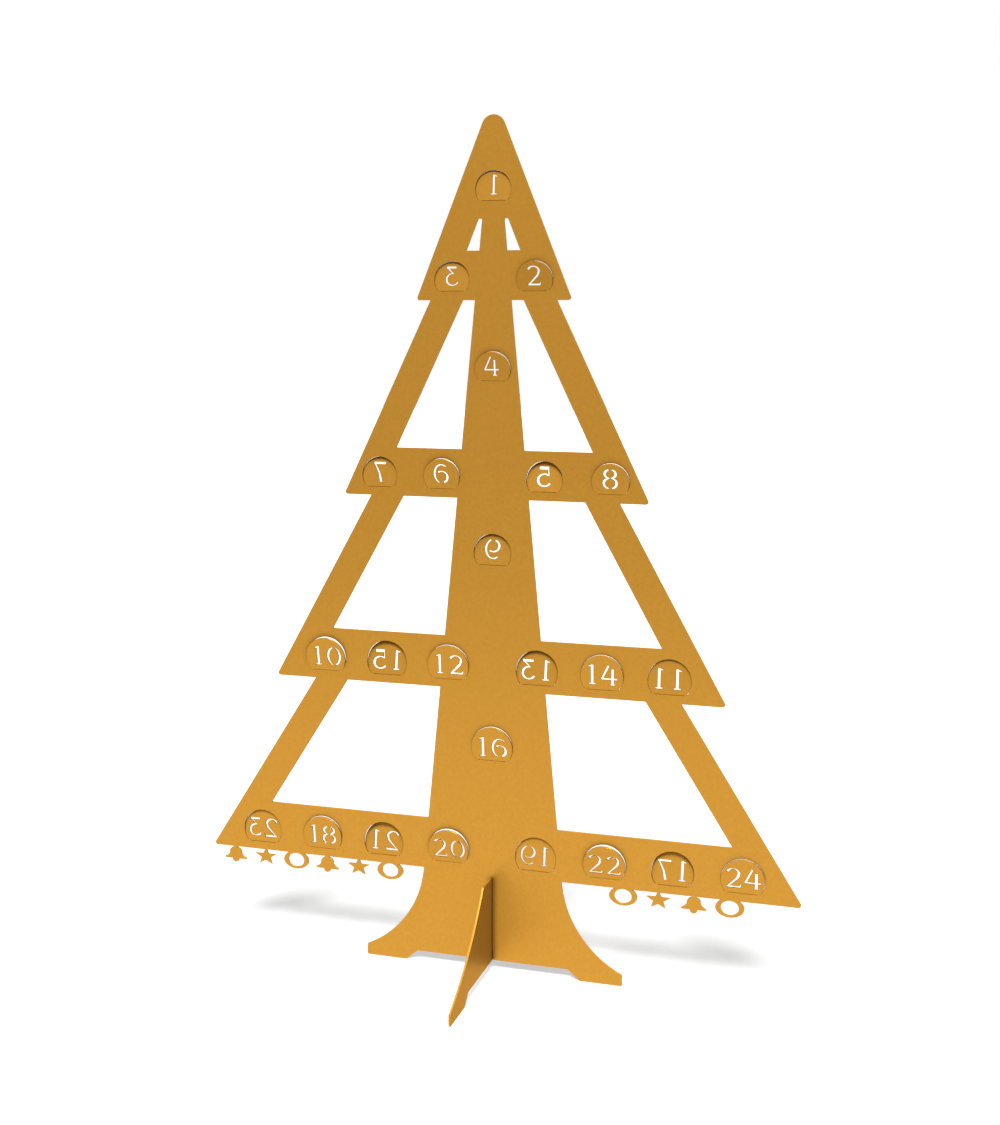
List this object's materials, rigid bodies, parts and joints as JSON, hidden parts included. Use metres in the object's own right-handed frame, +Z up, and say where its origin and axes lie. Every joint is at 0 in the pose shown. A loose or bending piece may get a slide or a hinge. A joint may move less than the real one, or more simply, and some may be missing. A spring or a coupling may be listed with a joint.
{
  "type": "metal tree advent calendar",
  "caption": "Flat gold metal tree on a slotted cross foot, with round numbered tabs that bend out of its trunk and bars and a row of cut-out ornaments under the lowest bar.",
  "frame": {"origin": "on the floor, in the tree's mid-plane under the middle of its trunk", "axes": "+X along the tree's face to the right seen from the front, -Y to the front, +Z up to the tree's tip"},
  "size_m": [0.3234, 0.1422, 0.4433],
  "materials": {
    "gold_paint": "satin metallic gold"
  },
  "bodies": {
    "tree": {"tree_plate": "gold_paint"},
    "foot": {"cross_foot": "gold_paint"},
    "tab_01": {"tab_01": "gold_paint"},
    "tab_02": {"tab_02": "gold_paint"},
    "tab_03": {"tab_03": "gold_paint"},
    "tab_04": {"tab_04": "gold_paint"},
    "tab_05": {"tab_05": "gold_paint"},
    "tab_06": {"tab_06": "gold_paint"},
    "tab_07": {"tab_07": "gold_paint"},
    "tab_08": {"tab_08": "gold_paint"},
    "tab_09": {"tab_09": "gold_paint"},
    "tab_10": {"tab_10": "gold_paint"},
    "tab_11": {"tab_11": "gold_paint"},
    "tab_12": {"tab_12": "gold_paint"},
    "tab_13": {"tab_13": "gold_paint"},
    "tab_14": {"tab_14": "gold_paint"},
    "tab_15": {"tab_15": "gold_paint"},
    "tab_16": {"tab_16": "gold_paint"},
    "tab_17": {"tab_17": "gold_paint"},
    "tab_18": {"tab_18": "gold_paint"},
    "tab_19": {"tab_19": "gold_paint"},
    "tab_20": {"tab_20": "gold_paint"},
    "tab_21": {"tab_21": "gold_paint"},
    "tab_22": {"tab_22": "gold_paint"},
    "tab_23": {"tab_23": "gold_paint"},
    "tab_24": {"tab_24": "gold_paint"}
  },
  "joints": [
    {"name": "tab_01_fold", "type": "hinge", "parent": "tree", "child": "tab_01", "pos_m": [0, 0, 0.40225], "axis": [-1, 0, 0], "range_deg": [-3.5, 41.5]},
    {"name": "tab_02_fold", "type": "hinge", "parent": "tree", "child": "tab_02", "pos_m": [0.0216, 0, 0.35815], "axis": [1, 0, 0], "range_deg": [-7, 38]},
    {"name": "tab_03_fold", "type": "hinge", "parent": "tree", "child": "tab_03", "pos_m": [-0.0216, 0, 0.35815], "axis": [-1, 0, 0], "range_deg": [-4, 41]},
    {"name": "tab_04_fold", "type": "hinge", "parent": "tree", "child": "tab_04", "pos_m": [0, 0, 0.31355], "axis": [1, 0, 0], "range_deg": [-8, 37]},
    {"name": "tab_05_fold", "type": "hinge", "parent": "tree", "child": "tab_05", "pos_m": [0.0273, 0, 0.25815], "axis": [-1, 0, 0], "range_deg": [-7.5, 37.5]},
    {"name": "tab_06_fold", "type": "hinge", "parent": "tree", "child": "tab_06", "pos_m": [-0.0273, 0, 0.25815], "axis": [1, 0, 0], "range_deg": [-6.5, 38.5]},
    {"name": "tab_07_fold", "type": "hinge", "parent": "tree", "child": "tab_07", "pos_m": [-0.0614, 0, 0.25815], "axis": [-1, 0, 0], "range_deg": [-4.5, 40.5]},
    {"name": "tab_08_fold", "type": "hinge", "parent": "tree", "child": "tab_08", "pos_m": [0.0614, 0, 0.25815], "axis": [1, 0, 0], "range_deg": [-6, 39]},
    {"name": "tab_09_fold", "type": "hinge", "parent": "tree", "child": "tab_09", "pos_m": [0, 0, 0.21955], "axis": [-1, 0, 0], "range_deg": [-5, 40]},
    {"name": "tab_10_fold", "type": "hinge", "parent": "tree", "child": "tab_10", "pos_m": [-0.093, 0, 0.15815], "axis": [1, 0, 0], "range_deg": [-8, 37]},
    {"name": "tab_11_fold", "type": "hinge", "parent": "tree", "child": "tab_11", "pos_m": [0.093, 0, 0.15815], "axis": [-1, 0, 0], "range_deg": [-3.5, 41.5]},
    {"name": "tab_12_fold", "type": "hinge", "parent": "tree", "child": "tab_12", "pos_m": [-0.024, 0, 0.15815], "axis": [1, 0, 0], "range_deg": [-4.5, 40.5]},
    {"name": "tab_13_fold", "type": "hinge", "parent": "tree", "child": "tab_13", "pos_m": [0.024, 0, 0.15815], "axis": [-1, 0, 0], "range_deg": [-6.5, 38.5]},
    {"name": "tab_14_fold", "type": "hinge", "parent": "tree", "child": "tab_14", "pos_m": [0.0583, 0, 0.15815], "axis": [1, 0, 0], "range_deg": [-4, 41]},
    {"name": "tab_15_fold", "type": "hinge", "parent": "tree", "child": "tab_15", "pos_m": [-0.0583, 0, 0.15815], "axis": [-1, 0, 0], "range_deg": [-7, 38]},
    {"name": "tab_16_fold", "type": "hinge", "parent": "tree", "child": "tab_16", "pos_m": [0, 0, 0.11595], "axis": [1, 0, 0], "range_deg": [-4.5, 40.5]},
    {"name": "tab_17_fold", "type": "hinge", "parent": "tree", "child": "tab_17", "pos_m": [0.0966, 0, 0.05815], "axis": [-1, 0, 0], "range_deg": [-9, 36]},
    {"name": "tab_18_fold", "type": "hinge", "parent": "tree", "child": "tab_18", "pos_m": [-0.0966, 0, 0.05815], "axis": [1, 0, 0], "range_deg": [-4.5, 40.5]},
    {"name": "tab_19_fold", "type": "hinge", "parent": "tree", "child": "tab_19", "pos_m": [0.024, 0, 0.05815], "axis": [-1, 0, 0], "range_deg": [-4, 41]},
    {"name": "tab_20_fold", "type": "hinge", "parent": "tree", "child": "tab_20", "pos_m": [-0.024, 0, 0.05815], "axis": [1, 0, 0], "range_deg": [-8, 37]},
    {"name": "tab_21_fold", "type": "hinge", "parent": "tree", "child": "tab_21", "pos_m": [-0.061, 0, 0.05815], "axis": [-1, 0, 0], "range_deg": [-9.5, 35.5]},
    {"name": "tab_22_fold", "type": "hinge", "parent": "tree", "child": "tab_22", "pos_m": [0.061, 0, 0.05815], "axis": [1, 0, 0], "range_deg": [-8.5, 36.5]},
    {"name": "tab_23_fold", "type": "hinge", "parent": "tree", "child": "tab_23", "pos_m": [-0.1324, 0, 0.05815], "axis": [-1, 0, 0], "range_deg": [-4, 41]},
    {"name": "tab_24_fold", "type": "hinge", "parent": "tree", "child": "tab_24", "pos_m": [0.1324, 0, 0.05815], "axis": [1, 0, 0], "range_deg": [-3.5, 41.5]},
    {"name": "foot_lap", "type": "slide", "parent": "tree", "child": "foot", "axis": [0, 0, -1], "range_m": [0, 0.047]}
  ]
}
